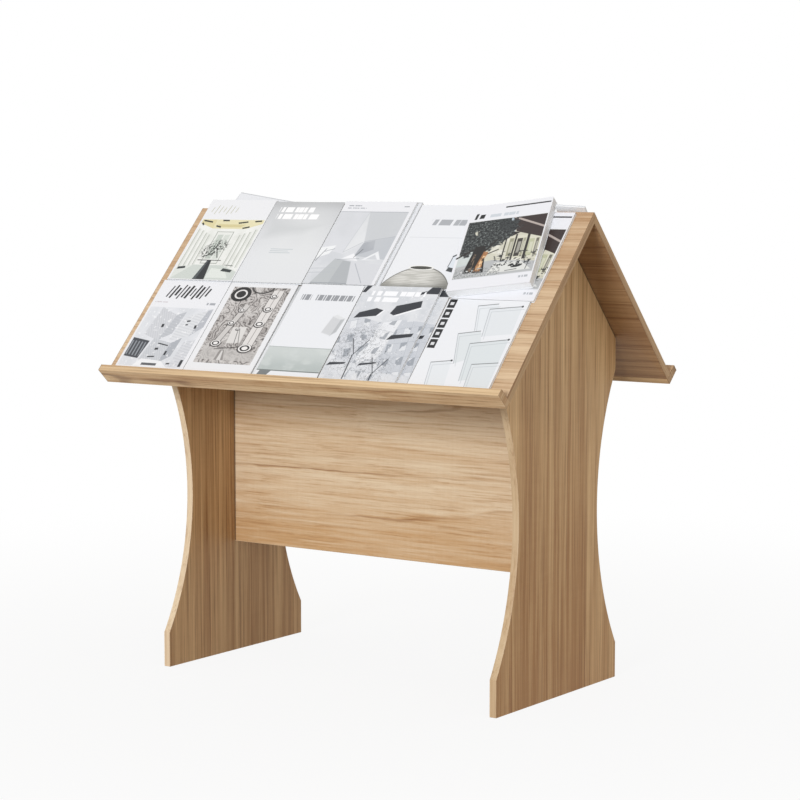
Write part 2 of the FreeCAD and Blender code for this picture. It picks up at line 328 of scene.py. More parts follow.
def wood(
    name, turn, shift, colours, figure=0.3, scale=1.0,
    ends_turn=None, fade=None, joint_and_shade=None, back=None,
):
    """A board's print. turn brings its grain onto X, shift picks another stretch of the print
    and figure says how far its lines wander. A scale below 1 spreads the print. ends_turn is
    for banding: the turn for its strips on the rack's two ends. fade is a height, how much
    warmer the print grows for each metre below it, and the least that it adds; on the end
    panels and the front slope it is painted light and shade. The function for joints gives
    where a joint shows as a dark line: painted shade along the boards' joints, and a real glue
    line on banding. back gives the darker colours of a slope's underside: painted shade."""
    shade = Shade(name)

    def turned(rotation):
        made = shade.node("ShaderNodeVectorRotate", shade.place, rotation_type="EULER_XYZ")
        made.inputs["Rotation"].default_value = rotation
        return made.outputs[0]

    place = turned(turn)
    if ends_turn:
        on_ends = off_middle(shade).over(HALF - 1.6 * MM, HALF - 1.2 * MM)
        place = shade.mix(on_ends, place, turned(ends_turn), "VECTOR")
    scales, shifts = (scale, scale, scale), (shift, 0.0, 0.0)
    place = shade.node("ShaderNodeVectorMath", place, scales, shifts, operation="MULTIPLY_ADD")
    warmer = 0.0
    # a tone that changes with height; on the end panels and the front slope it is painted light and
    # shade
    if fade:
        height, rate, least = fade
        warmer = ((shade.axes(shade.place)[2] - height) * -rate).most(least)
    # the rear slope's underside printed darker: painted shade
    if back:
        below = depth_below_slopes(shade).over(BOARD * 0.45, BOARD * 0.55)
        colours = [shade.mix(below, *pair) for pair in zip(colours, back)]
    ink, height, roughness = shade.use(OAK, place.outputs[0], figure, *colours, warmer)
    # dark joint lines: painted shade along the boards' joints, a real glue line on banding
    if joint_and_shade:
        ink = shade.mix(joint_and_shade(shade) * JOINT_AND_SHADE_STRENGTH, ink, JOINT_AND_SHADE_INK)
    shade.bump(height, 0.05 * MM, 0.6)
    return shade.finish(ink, roughness, specular=0.35)


def metal(name, colour, roughness):
    shade = Shade(name)
    cloud = shade.noise(shade.place, 380.0, 3.0)
    tint = shade.mix(cloud.over(0.35, 0.75) * 0.3, colour, TARNISH)
    shade.bump(shade.noise(shade.place, 2600.0, 1.0), 0.04 * MM, 0.5)
    return shade.finish(tint, cloud * 0.2 + roughness, metallic=1.0)


def dress(node, material):
    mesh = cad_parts[node].data
    mesh.materials.clear()
    mesh.materials.append(material)


def soften(node, width):
    """Rounds a CAD node's edges a little, as sanding or a banding machine leaves them."""
    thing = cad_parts[node]
    thing.modifiers.new("weld", "WELD").merge_threshold = WELD_REACH
    bevel = thing.modifiers.new("bevel", "BEVEL")
    bevel.width = width
    bevel.segments = 2
    bevel.limit_method = "ANGLE"
    bevel.angle_limit = SHARP_ANGLE
    bevel.use_clamp_overlap = True


# ---- covers ----
def stencils():
    """The shapes that the covers are printed with. Each gives 1 inside and 0 outside, softened
    over a short distance. Places are in widths of the cover, both ways."""
    made = {}

    def inside(pattern, distance, soft):
        return pattern.result(mask=(soft - distance) / (soft + soft))

    pattern = Pattern("bar", "u", "v", "cu", "cv", "cos", "sin", "long", "broad", "lean", "soft")
    u, v, cu, cv, cos, sin, long, broad, lean, soft = pattern.given
    du, dv = u - cu, v - cv
    b = dv * cos - du * sin
    a = du * cos + dv * sin + b * lean
    made["bar"] = inside(pattern, (a.abs() - long / 2).most(b.abs() - broad / 2), soft)

    pattern = Pattern("ring", "u", "v", "cu", "cv", "squash", "radius", "broad", "soft")
    u, v, cu, cv, squash, radius, broad, soft = pattern.given
    du, dv = u - cu, (v - cv) * squash
    reach = (du * du + dv * dv).root() - radius
    made["ring"] = inside(pattern, reach.abs() - broad / 2, soft)

    sides = [word + str(i) for i in range(FACET_SIDES) for word in ("across", "up", "far")]
    pattern = Pattern("facet", "u", "v", "soft", *sides)
    u, v, soft, *sides = pattern.given
    reach = None
    for across, up, far in zip(sides[0::3], sides[1::3], sides[2::3]):
        side = u * across + v * up - far
        reach = side if reach is None else reach.most(side)
    made["facet"] = inside(pattern, reach, soft)
    return made


class Page(Shade):
    """A printed cover. Places run from 0 to 1 across it (u) and up it (v)."""

    SOFT = 0.0035

    def __init__(self, name, width, height):
        super().__init__(name)
        x, y, _ = self.axes(self.place)
        self.u, self.v = x / width, y / height
        self.ratio = height / width
        self.high = y / width

    def ground(self, ink):
        self.colour = linear(ink)

    def lay(self, mask, ink, amount=1.0):
        """Prints ink, a colour or a pattern, where the mask is 1."""
        self.colour = self.mix(mask * amount if amount != 1.0 else mask, self.colour, ink)

    def stamp(self, name, *given):
        return self.use(STENCILS[name], self.u, self.high, *given)[0].clamp()

    def turned(self, degrees):
        """Coordinates turned about the lower left corner, in widths of the cover."""
        a = math.radians(degrees)
        across = self.u * math.cos(a) + self.high * math.sin(a)
        return across, self.high * math.cos(a) - self.u * math.sin(a)

    def bar(self, cu, cv, length, breadth, degrees=0.0, lean=0.0, soft=SOFT):
        """A turned bar, in widths of the cover; lean shears it into a parallelogram."""
        a = math.radians(degrees)
        place = cu, cv * self.ratio, math.cos(a), math.sin(a)
        return self.stamp("bar", *place, length, breadth, lean, soft)

    def box(self, u0, u1, v0, v1):
        return self.bar((u0 + u1) / 2, (v0 + v1) / 2, u1 - u0, (v1 - v0) * self.ratio)

    def block(self, ink, u0, u1, v0, v1, amount=1.0):
        self.lay(self.box(u0, u1, v0, v1), ink, amount)

    def disc(self, cu, cv, radius, squash=1.0, soft=SOFT):
        return self.ring(cu, cv, radius / 2, radius, squash, soft)

    def ring(self, cu, cv, radius, breadth, squash=1.0, soft=SOFT):
        return self.stamp("ring", cu, cv * self.ratio, squash, radius, breadth, soft)

    def facet(self, *points, soft=SOFT):
        """A convex outline through three to five points given anticlockwise."""
        sides = []
        for (u0, v0), (u1, v1) in zip(points, points[1:] + points[:1]):
            across, up = (v1 - v0) * self.ratio, u0 - u1
            size = math.hypot(across, up)
            across, up = across / size, up / size
            sides.append((across, up, u0 * across + v0 * self.ratio * up))
        sides += sides[-1:] * (FACET_SIDES - len(sides))
        return self.stamp("facet", soft, *(value for side in sides for value in side))

    def facets(self, *rows, amount=1.0, soft=SOFT):
        """Prints facets, each given as its ink and its points."""
        for ink, *points in rows:
            self.lay(self.facet(*points, soft=soft), ink, amount)

    def heading(self, u0, u1, v0, v1, pace, ink, lean=0.0, amount=1.0):
        """A row of blocks of uneven width, where a cover has its heading."""
        across = self.u - self.v * lean
        strokes = (across * pace).wave() + (across * (pace * 0.37) + 2.0).wave() * 0.6
        self.lay(self.box(u0, u1, v0, v1) * strokes.over(-0.85, -0.60), ink, amount)

    def grain(self, u_scale, v_scale, shift=0.0, detail=2.0, roughness=0.5):
        place = self.vector(self.u * u_scale + shift, self.v * v_scale)
        return self.noise(place, 1.0, detail, roughness)

    def print(self):
        fibre = self.noise(self.place, 900.0)
        wave = self.noise(self.place, 9.0, 1.0)
        self.bump(fibre * 0.15 + wave, 0.25 * MM, 0.35)
        return self.finish(self.colour, fibre * 0.08 + 0.34, specular=0.4)


def cover_plain(page):
    """Pale cover with a large quiet panel and a thin frame."""
    page.ground("E3E5E8")
    page.block("D6D9DC", 0.08, 0.92, 0.1, 0.86)
    page.block("DFE1E4", 0.09, 0.91, 0.107, 0.853)
    # a darker line round the cover's very edge: painted shade along the edge
    page.lay(page.box(0.012, 0.988, 0.009, 0.991) * -1 + 1, "A4A7AA", 0.6)


def cover_room(page):
    """Picture of a pale hall with a cream ceiling and a plant on a dark stand, strokes above it."""
    page.ground("E9EAEC")
    for i in range(7):
        tall = 0.08 + 0.035 * (i * 5 % 3)
        page.lay(page.bar(0.1 + 0.062 * i, 0.872, 0.011, tall, -10), "B1B192", 0.8)
    low, high = 0.008, 0.748
    window = page.box(0.03, 0.985, low, high)
    page.lay(window, "ECEDE9")
    page.lay(window * page.grain(5, 6, 0, 3).over(0.4, 0.7), "DCDED8", 0.7)
    page.facets(
        ("DCD2A4", (0.03, 0.7), (0.26, 0.635), (0.26, high), (0.03, high)),
        ("E3DCB5", (0.26, 0.635), (0.76, 0.635), (0.985, 0.7), (0.985, high), (0.26, high)),
    )
    page.lay(page.facet((0.36, 0.655), (0.68, 0.655), (0.74, 0.69), (0.3, 0.69)), "CFC38F", 0.8)
    for u, v, long, turn in (
        (0.13, 0.725, 0.15, -9), (0.4, 0.738, 0.1, 0), (0.68, 0.715, 0.14, 9),
        (0.9, 0.732, 0.1, 6), (0.33, 0.662, 0.08, -12), (0.76, 0.652, 0.1, 14),
        (0.07, 0.69, 0.05, -40),
    ):
        page.lay(page.bar(u, v, long, 0.024, turn, 0.4), "22261F")
    for u, tall in (
        (0.06, 0.63), (0.13, 0.61), (0.2, 0.58), (0.26, 0.56),
        (0.73, 0.56), (0.79, 0.58), (0.86, 0.6), (0.93, 0.63),
    ):
        page.block("D6D9D2", u + 0.004, u + 0.03, 0.16, tall, 0.8)
        page.block("979C92", u - 0.005, u + 0.005, 0.16, tall, 0.8)
    page.facets(
        ("CBD1CB", (0.03, low), (0.985, low), (0.985, 0.11), (0.72, 0.185), (0.28, 0.185)),
        ("DBDFD9", (0.03, low), (0.28, 0.185), (0.03, 0.14)),
    )
    page.lay(page.facet((0.56, 0.03), (0.9, 0.03), (0.8, 0.13), (0.58, 0.15)), "E3E7E1", 0.8)
    page.block("8F958B", 0.36, 0.62, 0.2, 0.6, 0.8)
    page.block("E6E8E3", 0.372, 0.608, 0.21, 0.592)
    page.block("C6CDC5", 0.4, 0.485, 0.26, 0.56)
    page.block("D3D8D1", 0.505, 0.585, 0.26, 0.56)
    leaves = page.grain(30, 40, 0, 4, 0.7).over(0.49, 0.54)
    page.lay(page.disc(0.5, 0.42, 0.14, 1.5, soft=0.04) * leaves, "1E231B", 0.95)
    page.lay(page.disc(0.4, 0.35, 0.12, 1.3, soft=0.04) * leaves, "262B25", 0.95)
    for u, v, long, turn in (
        (0.46, 0.38, 0.22, 64), (0.54, 0.33, 0.16, 118), (0.42, 0.31, 0.18, 24),
    ):
        page.lay(page.bar(u, v, long, 0.013, turn), "1A1D1A")
    page.facets(
        ("1F2224", (0.38, low), (0.56, low), (0.515, 0.245), (0.455, 0.245)),
        ("4A5052", (0.38, low), (0.43, low), (0.478, 0.235), (0.462, 0.235)),
    )
    page.block("2A2D2E", 0.3, 0.66, 0.238, 0.248, 0.9)
    page.facets(
        ("23282A", (0.06, 0.125), (0.18, 0.14), (0.17, 0.165), (0.06, 0.155)),
        ("2A3030", (0.74, 0.115), (0.9, 0.1), (0.91, 0.13), (0.76, 0.15)),
    )
    page.lay(page.bar(0.82, 0.185, 0.13, 0.01, -4), "363B3C", 0.9)


def cover_plain_grey(page):
    """Quiet grey cover that pales towards the foot, with heavy white strokes at the head."""
    page.ground("CACCCE")
    page.lay(page.v.over(0.97, 0.25), "E0E2E4")
    page.lay(page.v.over(0.86, 1), "B7B9BA", 0.85)
    page.lay(page.disc(0.6, 0.5, 0.34, 0.8, soft=0.22), "E2E4E4", 0.55)
    page.facets(
        ("C2C5C6", (0.1, 0.56), (0.62, 0.62), (0.78, 0.7), (0.14, 0.74)), amount=0.5, soft=0.06
    )
    page.heading(0.12, 0.62, 0.868, 0.93, 96, "FAFAFA", 0.1)
    page.heading(0.12, 0.74, 0.782, 0.844, 84, "FAFAFA", 0.1)
    for v, u1 in ((0.465, 0.62), (0.443, 0.56), (0.421, 0.6)):
        page.block("AFBABE", 0.3, u1, v - 0.06, v - 0.053, 0.8)


def cover_facets(page):
    """White header over an abstract of pale grey folded planes."""
    page.ground("E9EAED")
    top = 0.875
    window = page.box(0, 0.955, 0, top)
    page.lay(window, "D0D3D7")
    page.lay(window * page.grain(3, 4, 4, 3).over(0.35, 0.65), "DDDFE2", 0.8)
    page.facets(
        ("D9DBDF", (0, 0.42), (0.34, 0.36), (0.42, 0.875), (0, 0.875)),
        ("CACDD0", (0.42, 0.875), (0.56, 0.5), (0.955, 0.58), (0.955, 0.875)),
        ("E1E3E5", (0.34, 0.36), (0.56, 0.5), (0.42, 0.875)),
        ("BFC3C8", (0.52, 0.34), (0.955, 0.3), (0.955, 0.58), (0.56, 0.5)),
        ("A9ADB3", (0.52, 0.34), (0.74, 0.42), (0.7, 0.53), (0.56, 0.5)),
        ("B0B4B7", (0.1, 0), (0.62, 0), (0.52, 0.27), (0.28, 0.3)),
        ("BBBFC1", (0.1, 0), (0.36, 0), (0.4, 0.28), (0.28, 0.3)),
        ("D5D7DB", (0.62, 0), (0.955, 0), (0.955, 0.24), (0.52, 0.27)),
        ("EEF0F1", (0, 0.3), (0.16, 0.36), (0.2, 0.46), (0, 0.43)),
        ("F0F1F3", (0.36, 0.3), (0.6, 0.28), (0.5, 0.37)),
        ("ECEEF0", (0.64, 0.29), (0.9, 0.3), (0.82, 0.4)),
        ("CFD2D6", (0.7, 0.3), (0.86, 0.3), (0.8, 0.36)),
        soft=0.006,
    )
    page.lay(window * page.grain(2, 2, 9, 3).over(0.45, 0.7), "C6C9CC", 0.35)
    for u, v, long, turn, ink in (
        (0.055, 0.345, 0.2, 68, "43474E"), (0.56, 0.37, 0.15, 60, "2D3036"),
        (0.7, 0.135, 0.36, -52, "A0A5AD"), (0.18, 0.185, 0.34, 3, "B6BABF"),
        (0.16, 0.135, 0.3, 3, "B6BABF"), (0.36, 0.012, 0.5, 0, "868C92"),
        (0.44, 0.44, 0.26, 37, "B4B8BD"), (0.75, 0.545, 0.4, 12, "AEB2B8"),
        (0.38, 0.62, 0.6, 82, "C3C7CB"), (0.14, 0.4, 0.14, 20, "8C9198"),
        (0.46, 0.3, 0.3, 4, "9EA3A8"),
    ):
        page.lay(page.bar(u, v, long, 0.009, turn), ink, 0.8)
    page.block("A3A7AD", 0, 0.955, top - 0.006, top, 0.8)
    page.heading(0.08, 0.26, 0.94, 0.952, 150, "83888F", 0, 0.8)
    page.heading(0.08, 0.34, 0.912, 0.922, 170, "8C9198", 0, 0.8)
    page.block("5F646B", 0.86, 0.93, 0.935, 0.943)


def cover_vessel(page):
    """White cover with a thin rule, a low pale ribbed jar at the foot and a dark chest."""
    page.ground("E9EBEE")
    page.heading(0.26, 0.76, 0.752, 0.822, 64, "8E9297", 0.25, 0.75)
    page.block("CBCED2", 0.06, 0.8, 0.6, 0.605, 0.8)
    rib = (page.v * 330 + page.u * 9).wave() * 0.5 + 0.5
    ribs = page.mix(rib, "C2C1BA", "DEDDD8")
    shape = page.disc(0.47, -0.21, 0.54, 0.94) * page.v.over(0.232, 0.224)
    page.lay(page.disc(0.47, -0.21, 0.552, 0.94) * page.v.over(0.24, 0.23), "66655F")
    page.lay(shape, ribs)
    page.lay(shape * page.grain(4, 30, 2, 3).over(0.45, 0.65), "A5A49C", 0.5)
    page.lay(shape * page.u.over(0.55, 0.98), "6C6B64", 0.75)
    page.lay(shape * page.u.over(0.24, 0), "93928A", 0.6)
    page.lay(shape * page.v.over(0.08, 0), "5A5A55", 0.6)
    page.lay(page.disc(0.44, 0.24, 0.18, 5.2), "F0F0ED")
    page.lay(page.disc(0.44, 0.239, 0.15, 6.2), "45453F")
    page.facets(
        ("DCE3EA", (0.84, 0.2), (0.99, 0.17), (0.99, 0.31), (0.8, 0.4), (0.8, 0.25)), amount=0.9
    )
    for bar in (
        (0.85, 0.405, 0.13, 0.022, 34), (0.87, 0.22, 0.14, 0.06, -12),
        (0.94, 0.33, 0.1, 0.03, -62), (0.8, 0.31, 0.15, 0.01, 88),
    ):
        page.lay(page.bar(*bar), "202427", 0.95)


def cover_courtyard(page):
    """A dark tree and a covered terrace under a white header with a thin black bar."""
    page.ground("E9EAEE")
    page.block("121315", 0.44, 0.985, 0.938, 0.954)
    page.lay(page.bar(0.11, 0.868, 0.032, 0.085, 0, -0.2), "141518")
    page.lay(page.bar(0.18, 0.862, 0.06, 0.06, 0, -0.2), "141518")
    page.heading(0.25, 0.62, 0.842, 0.878, 80, "CBD1D7", 0.15)
    left, right, low, high = 0.035, 0.985, 0.135, 0.805
    window = page.box(left, right, low, high)
    page.lay(window, "CFCDBC")
    page.lay(window * page.grain(6, 11, 4, 4).over(0.42, 0.62), "E9E8DE", 0.8)
    page.facets(
        ("B7B9BA", (left, low), (right, low), (right, 0.25), (0.46, 0.315), (left, 0.29)),
        ("DEDFDB", (0.44, 0.16), (0.96, 0.16), (0.82, 0.265), (0.5, 0.28)),
    )
    page.lay(page.facet((left, 0.27), (0.3, 0.3), (0.3, 0.44), (left, 0.47)), "C9D3D4", 0.8)
    page.lay(page.facet((0.6, 0.315), (right, 0.29), (right, 0.56), (0.6, 0.585)), "D8D6C4")
    for u, broad, v0, v1, ink in (
        (0.635, 0.05, 0.34, 0.55, "9A9882"), (0.735, 0.065, 0.33, 0.54, "3E3A35"),
        (0.79, 0.03, 0.33, 0.54, "A3A28C"), (0.88, 0.07, 0.32, 0.52, "BDBFA2"),
        (0.95, 0.035, 0.32, 0.52, "6F6C60"),
    ):
        page.block(ink, u - broad / 2, u + broad / 2, v0, v1)
        page.block("E9E8DC", u - broad / 5, u + broad / 3, v0 + 0.04, v1 - 0.04, 0.4)
    sky = page.facet((0.44, 0.67), (0.64, 0.63), (0.66, high), (0.4, high))
    page.lay(sky, "D3DFEA")
    beams = page.mix((page.turned(-26)[1] * 34).wave().over(0.86, 0.97), "332725", "B5A9A3")
    page.facets(
        (beams, (0.66, 0.63), (right, 0.53), (right, high), (0.58, high)),
        ("2A2422", (0.46, 0.51), (0.62, 0.575), (right, 0.51), (right, 0.55), (0.6, 0.64)),
    )
    for u, broad in ((0.565, 0.016), (0.68, 0.022), (0.83, 0.032)):
        page.block("282421", u - broad / 2, u + broad / 2, 0.29, 0.595)
    bushes = page.facet((0.44, 0.23), (right, 0.22), (right, 0.38), (0.48, 0.41))
    page.lay(bushes * page.grain(16, 30, 5, 4, 0.7).over(0.53, 0.57), "24272A")
    leaves = page.grain(34, 48, 3, 5, 0.8)
    foliage = page.mix(leaves.over(0.44, 0.64), "15181B", "666C6A")
    edge = (page.grain(13, 17, 7, 4, 0.65) - 0.5) * 0.9
    for cu, cv, radius in ((0.18, 0.66, 0.34), (0.42, 0.68, 0.24), (0.08, 0.54, 0.18)):
        crown = (page.disc(cu, cv, radius, 1.1, soft=0.2) - edge).over(0.44, 0.52)
        page.lay(crown * window, foliage)
    gaps = page.u.over(0.66, 0.5) * page.v.over(0.33, 0.4) * leaves.over(0.61, 0.66)
    page.lay(window * gaps, "C4CCCB", 0.9)
    page.lay(sky * leaves.over(0.53, 0.56), "2A2F33", 0.9)
    page.lay(page.facet((0.14, 0.19), (0.39, 0.18), (0.33, 0.5), (0.21, 0.5)), "1E1B19")
    for bar in (
        (0.1, 0.42, 0.22, 0.024, 30), (0.38, 0.48, 0.24, 0.022, 54), (0.42, 0.41, 0.18, 0.015, 22),
    ):
        page.lay(page.bar(*bar), "25221F")
    bark = page.grain(26, 14, 12, 4, 0.7)
    for ink, first, full, amount, points in (
        ("A9764C", 0.42, 0.5, 0.95, ((0.26, 0.2), (0.34, 0.19), (0.385, 0.42), (0.33, 0.43))),
        ("EBC699", 0.46, 0.56, 1, ((0.285, 0.22), (0.325, 0.21), (0.37, 0.37), (0.335, 0.38))),
        ("7A6857", 0.46, 0.54, 0.9, ((0.19, 0.21), (0.235, 0.2), (0.25, 0.4), (0.22, 0.41))),
    ):
        page.lay(page.facet(*points) * bark.over(first, full), ink, amount)
    stones = page.grain(30, 50, 8, 4)
    yard = page.facet((left, low), (0.6, low), (0.58, 0.23), (left, 0.25))
    page.lay(yard * stones.over(0.48, 0.56), "6C6F6F", 0.85)
    page.lay(yard * stones.over(0.58, 0.63), "EAEBEA", 0.9)
    page.lay(page.disc(0.76, 0.225, 0.085, 2.6) * page.grain(30, 40).over(0.4, 0.46), "1D1F20")
    for u, v, long, turn in (
        (0.64, 0.285, 0.1, 70), (0.85, 0.285, 0.1, -70), (0.72, 0.175, 0.14, 4),
        (0.9, 0.2, 0.09, 80),
    ):
        page.lay(page.bar(u, v, long, 0.009, turn), "2A2C2D")
    page.block("C9CCD0", left, right, low - 0.007, low)
    page.heading(0.84, 0.95, 0.07, 0.094, 200, "B4B8BD")


def cover_blocks(page):
    """Heavy black strokes over a model of pale hatched blocks with small dark openings."""
    page.ground("E9EAED")
    for i in range(11):
        tall = (0.17, 0.22, 0.12, 0.2)[i * 3 % 4]
        page.lay(page.bar(0.19 + 0.056 * i, 0.875, 0.02 + 0.007 * (i % 3), tall, -16), "0E0F11")
    page.heading(0.05, 0.24, 0.752, 0.76, 150, "B4A7AC", 0, 0.8)
    page.heading(0.82, 0.95, 0.74, 0.764, 130, "8B8F96", 0, 0.8)
    window = page.box(0.03, 0.95, 0.06, 0.7)
    page.lay(window, "DFE1E5")
    page.lay(window * page.grain(3, 4, 3, 3).over(0.4, 0.65), "D3D6DA", 0.7)
    lines = (page.turned(24)[0] * 210).wave().over(-0.2, 0.8)
    rows = (page.turned(-12)[1] * 170).wave().over(-0.2, 0.8)
    for ink, hatch, *points in (
        ("CFD1D5", lines, (0.16, 0.4), (0.4, 0.34), (0.48, 0.62), (0.22, 0.7)),
        ("BEC1C6", rows, (0.4, 0.34), (0.56, 0.42), (0.6, 0.66), (0.48, 0.62)),
        ("DBDDE0", rows, (0.56, 0.34), (0.82, 0.4), (0.9, 0.68), (0.62, 0.6)),
        ("B8BBC1", lines, (0.82, 0.4), (0.96, 0.5), (0.96, 0.7), (0.9, 0.68)),
        ("C9CCD0", lines, (0.28, 0.12), (0.58, 0.1), (0.62, 0.32), (0.34, 0.36)),
        ("ADB1B7", rows, (0.58, 0.1), (0.72, 0.18), (0.74, 0.38), (0.62, 0.32)),
        ("D3D5D9", rows, (0.76, 0.06), (0.95, 0.1), (0.95, 0.36), (0.8, 0.34)),
    ):
        block = page.facet(*points)
        page.lay(block, ink)
        page.lay(block * hatch, "9BA0A7", 0.2)
    page.lay(window * page.grain(20, 26, 12, 4).over(0.58, 0.66), "F2F3F4", 0.7)
    page.lay(page.facet((0.04, 0.16), (0.26, 0.14), (0.3, 0.33), (0.04, 0.36)), "3E4147")
    rods = (page.u * 130).wave().over(0.1, 0.5)
    page.lay(page.facet((0.05, 0.18), (0.25, 0.16), (0.28, 0.31), (0.05, 0.33)) * rods, "8C9197")
    for bar in (
        (0.92, 0.11, 0.04, 0.1, 0), (0.74, 0.1, 0.05, 0.02, 6), (0.7, 0.56, 0.05, 0.022, 8),
        (0.36, 0.5, 0.035, 0.05, 8), (0.62, 0.21, 0.03, 0.06, 0), (0.46, 0.25, 0.05, 0.03, 4),
        (0.84, 0.5, 0.03, 0.05, 10), (0.52, 0.3, 0.16, 0.016, -10),
        (0.44, 0.165, 0.1, 0.018, 4), (0.7, 0.52, 0.035, 0.018, 8),
    ):
        page.lay(page.bar(*bar), "24262B")
    page.lay(page.facet((0.24, 0.06), (0.74, 0.06), (0.62, 0.125), (0.32, 0.14)), "F0F1F3", 0.85)
    page.lay(page.bar(0.47, 0.085, 0.22, 0.035, 0), "222429", 0.9)


def cover_machine(page):
    """White border round a busy grey picture of wheels, rods and contour lines."""
    page.ground("E8E9EB")
    window = page.box(0.085, 0.925, 0.135, 0.955)
    swirl = page.grain(2.6, 3.4, 2, 3)
    page.lay(window, page.mix(swirl.over(0.36, 0.62), "BDB9B6", "A39E9B"))
    flow = ((page.u * 0.5 + page.v * 0.9 + swirl * 1.6) * 66).wave()
    for mask, ink, amount in (
        (flow.over(0.7, 0.92), "3E3937", 0.85),
        (flow.over(-0.7, -0.92), "D9D6D3", 0.6),
        (page.grain(7, 8, 6, 3).over(0.54, 0.66), "D2CFCC", 0.8),
        (page.grain(44, 60, 6, 3).over(0.58, 0.66), "443F3D", 0.7),
    ):
        page.lay(window * mask, ink, amount)
    page.lay(page.facet((0.12, 0.17), (0.93, 0.17), (0.93, 0.27), (0.12, 0.31)), "C2BFBC", 0.7)
    for ink, *bar in (
        ("DDDAD7", 0.75, 0.62, 0.16, 0.86, -3), ("3A3634", 0.67, 0.62, 0.008, 0.86, -3),
        ("4B4744", 0.83, 0.62, 0.008, 0.86, -3), ("9A9693", 0.75, 0.62, 0.01, 0.86, -3),
        ("CBC8C5", 0.34, 0.55, 0.09, 0.62, -16), ("332F2D", 0.295, 0.55, 0.009, 0.62, -16),
        ("332F2D", 0.385, 0.55, 0.009, 0.62, -16), ("DAD8D5", 0.5, 0.44, 0.2, 0.24, 4),
        ("2E2A29", 0.5, 0.44, 0.008, 0.3, 12), ("57524F", 0.56, 0.4, 0.008, 0.34, 22),
        ("2E2A29", 0.46, 0.3, 0.36, 0.01, 8),
    ):
        page.lay(page.bar(*bar) * window, ink)
    page.lay(page.disc(0.24, 0.875, 0.145, 1.3) * window, "191818")
    page.lay(page.ring(0.24, 0.875, 0.08, 0.024, 1.3) * window, "EDEBE9", 0.9)
    page.lay(page.ring(0.52, 0.965, 0.16, 0.03, 1.6) * window, "1F1D1D", 0.9)
    for u, v, r in (
        (0.74, 0.86, 0.05), (0.75, 0.72, 0.06), (0.74, 0.56, 0.068), (0.38, 0.7, 0.045),
        (0.33, 0.56, 0.05), (0.26, 0.34, 0.07), (0.72, 0.3, 0.092), (0.47, 0.5, 0.03),
    ):
        page.lay(page.disc(u, v, r * 1.18, 1.6) * window, "2F2B2A", 0.95)
        page.lay(page.disc(u, v + 0.006, r, 1.6) * window, "EDEBE9")
        page.lay(page.ring(u, v + 0.006, r * 0.62, r * 0.3, 1.6) * window, "1B1919")
    page.facets(
        ("8A8683", (0.36, 0.17), (0.5, 0.17), (0.44, 0.28), (0.38, 0.28)),
        ("DAD8D6", (0.4, 0.17), (0.46, 0.17), (0.43, 0.27), (0.41, 0.27)),
        amount=0.9,
    )


def cover_field(page):
    """Almost empty cover: thin strokes at the head and a grey-green field at the foot."""
    page.ground("E8EAED")
    page.heading(0.1, 0.26, 0.83, 0.89, 150, "7D8085", 0.1, 0.85)
    page.heading(0.34, 0.94, 0.83, 0.89, 150, "7D8085", 0.1, 0.85)
    page.facets(
        ("CCCED0", (0.7, 0.5), (0.86, 0.47), (0.9, 0.64), (0.76, 0.67)),
        ("B3B6B8", (0.86, 0.47), (0.93, 0.51), (0.96, 0.65), (0.9, 0.64)),
        ("DDDFE0", (0.76, 0.67), (0.9, 0.64), (0.96, 0.65), (0.81, 0.69)),
        amount=0.9,
        soft=0.01,
    )
    field = page.box(0, 1, 0.09, 0.335)
    page.lay(field, "C8CECC")
    page.lay(field * page.v.over(0.3, 0.1), "B3BBB9")
    page.lay(field * page.grain(3, 9, 2, 3).over(0.45, 0.65), "D3D8D6", 0.5)
    page.block("9AA2A0", 0, 1, 0.33, 0.336, 0.7)
    page.block("6F7674", 0, 1, 0.084, 0.094)
    page.lay(page.facet((0.02, 0), (0.16, 0), (0.24, 0.085), (0.06, 0.085)), "4E5453", 0.85)
    page.block("DDE0E0", 0, 1, 0, 0.03)


